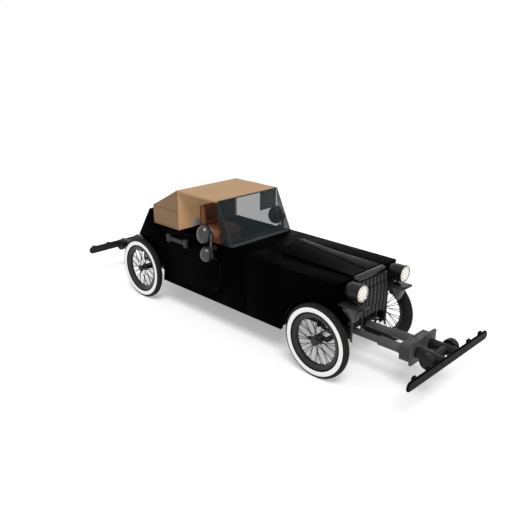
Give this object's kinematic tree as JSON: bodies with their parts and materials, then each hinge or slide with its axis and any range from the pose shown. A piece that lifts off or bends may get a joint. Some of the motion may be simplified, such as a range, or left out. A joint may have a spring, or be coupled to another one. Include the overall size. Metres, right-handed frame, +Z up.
{
  "type": "1920s touring car",
  "caption": "Open-sided 1920s touring car with a raised canvas top, wire wheels, hinged hood and doors, steering and long bumpers.",
  "frame": {"origin": "on the ground under the centre of the car, midway between the axles", "axes": "+Z up, the nose towards -Y, the car's right side towards -X"},
  "size_m": [1.51, 5.35, 1.5585],
  "materials": {
    "body_paint": "gloss black paint",
    "hood_paint": "gloss black paint",
    "chassis_paint": "satin black paint",
    "engine_iron": "painted grey iron",
    "exhaust_steel": "dull heat-stained steel",
    "spring_steel": "dark oiled steel",
    "strut_grey": "satin grey paint",
    "bumper_black": "gloss dark grey paint",
    "grille_grey": "satin grey paint",
    "lamp_grey": "gloss dark grey paint",
    "mirror_grey": "gloss grey paint",
    "pull_grey": "satin grey paint",
    "pane": "clear tinted glass",
    "lens": "ribbed clear glass",
    "visor": "smoked pane",
    "canvas": "tan waterproofed canvas",
    "leather": "brown leather",
    "rim_black": "gloss black enamel",
    "tyre": "black rubber with a white side ring",
    "wheel_black": "black hard rubber"
  },
  "bodies": {
    "chassis": {"frame": "chassis_paint", "engine": "engine_iron", "exhaust": "exhaust_steel", "floor": "chassis_paint", "side_panel_left": "body_paint", "side_panel_right": "body_paint", "tail": "body_paint", "cowl": "body_paint", "front_quarter_left": "body_paint", "front_quarter_right": "body_paint", "radiator": "grille_grey", "headlamps": "lamp_grey", "headlamp_lenses": "lens", "lamp_brackets": "lamp_grey", "window_glass": "pane", "sun_visors": "visor", "canvas_top": "canvas", "seat_cushion": "leather", "seat_back": "leather", "front_axle": "chassis_paint", "rear_axle": "chassis_paint", "leaf_springs": "spring_steel", "bumper_struts": "strut_grey", "damper_blocks": "strut_grey", "bumpers": "bumper_black"},
    "hood_right": {"hood_right": "hood_paint"},
    "door_right": {"door_right": "body_paint", "door_pull_right": "pull_grey", "mirror_right": "mirror_grey"},
    "knuckle_right": {"knuckle_right": "chassis_paint"},
    "hood_left": {"hood_left": "hood_paint"},
    "door_left": {"door_left": "body_paint", "door_pull_left": "pull_grey", "mirror_left": "mirror_grey"},
    "knuckle_left": {"knuckle_left": "chassis_paint"},
    "tie_rod": {"tie_rod": "spring_steel"},
    "steering_wheel": {"steering_wheel": "wheel_black"},
    "road_wheel_front_right": {"tyre_front_right": "tyre", "wheel_front_right": "rim_black"},
    "road_wheel_front_left": {"tyre_front_left": "tyre", "wheel_front_left": "rim_black"},
    "road_wheel_rear_right": {"tyre_rear_right": "tyre", "wheel_rear_right": "rim_black"},
    "road_wheel_rear_left": {"tyre_rear_left": "tyre", "wheel_rear_left": "rim_black"}
  },
  "joints": [
    {"name": "hood_right_lift", "type": "hinge", "parent": "chassis", "child": "hood_right", "pos_m": [0, -0.7, 1.162], "axis": [0, 0.9949, 0.1005], "range_deg": [0, 60]},
    {"name": "door_right_swing", "type": "hinge", "parent": "chassis", "child": "door_right", "pos_m": [-0.535, 0.03, 0.72], "axis": [0, 0, 1], "range_deg": [0, 65]},
    {"name": "hood_left_lift", "type": "hinge", "parent": "chassis", "child": "hood_left", "pos_m": [0, -0.7, 1.162], "axis": [0, -0.9949, -0.1005], "range_deg": [0, 60]},
    {"name": "door_left_swing", "type": "hinge", "parent": "chassis", "child": "door_left", "pos_m": [0.535, 0.03, 0.72], "axis": [0, 0, -1], "range_deg": [0, 65]},
    {"name": "steer_right", "type": "hinge", "parent": "chassis", "child": "knuckle_right", "pos_m": [-0.5, -1.5, 0.401], "axis": [0, 0, 1], "range_deg": [-28, 28]},
    {"name": "steer_left", "type": "hinge", "parent": "chassis", "child": "knuckle_left", "pos_m": [0.5, -1.5, 0.401], "axis": [0, 0, 1], "range_deg": [-28, 28]},
    {"name": "tie_rod_pivot", "type": "hinge", "parent": "knuckle_right", "child": "tie_rod", "pos_m": [-0.5, -1.35, 0.345], "axis": [0, 0, 1], "range_deg": [-28, 28]},
    {"name": "steering_wheel_turn", "type": "hinge", "parent": "chassis", "child": "steering_wheel", "pos_m": [-0.13, 0.12, 0.975], "axis": [0, 0.9063, 0.4226], "range_deg": [-280, 280]},
    {"name": "spin_front_right", "type": "hinge", "parent": "knuckle_right", "child": "road_wheel_front_right", "pos_m": [-0.574, -1.5, 0.401], "axis": [1, 0, 0], "continuous": true},
    {"name": "spin_front_left", "type": "hinge", "parent": "knuckle_left", "child": "road_wheel_front_left", "pos_m": [0.574, -1.5, 0.401], "axis": [1, 0, 0], "continuous": true},
    {"name": "spin_rear_right", "type": "hinge", "parent": "chassis", "child": "road_wheel_rear_right", "pos_m": [-0.574, 1.5, 0.401], "axis": [1, 0, 0], "continuous": true},
    {"name": "spin_rear_left", "type": "hinge", "parent": "chassis", "child": "road_wheel_rear_left", "pos_m": [0.574, 1.5, 0.401], "axis": [1, 0, 0], "continuous": true}
  ],
  "couplings": [
    {"joint": "steer_left", "follows": "steer_right", "ratio": 1},
    {"joint": "tie_rod_pivot", "follows": "steer_right", "ratio": -1},
    {"joint": "steering_wheel_turn", "follows": "steer_right", "ratio": 10}
  ]
}
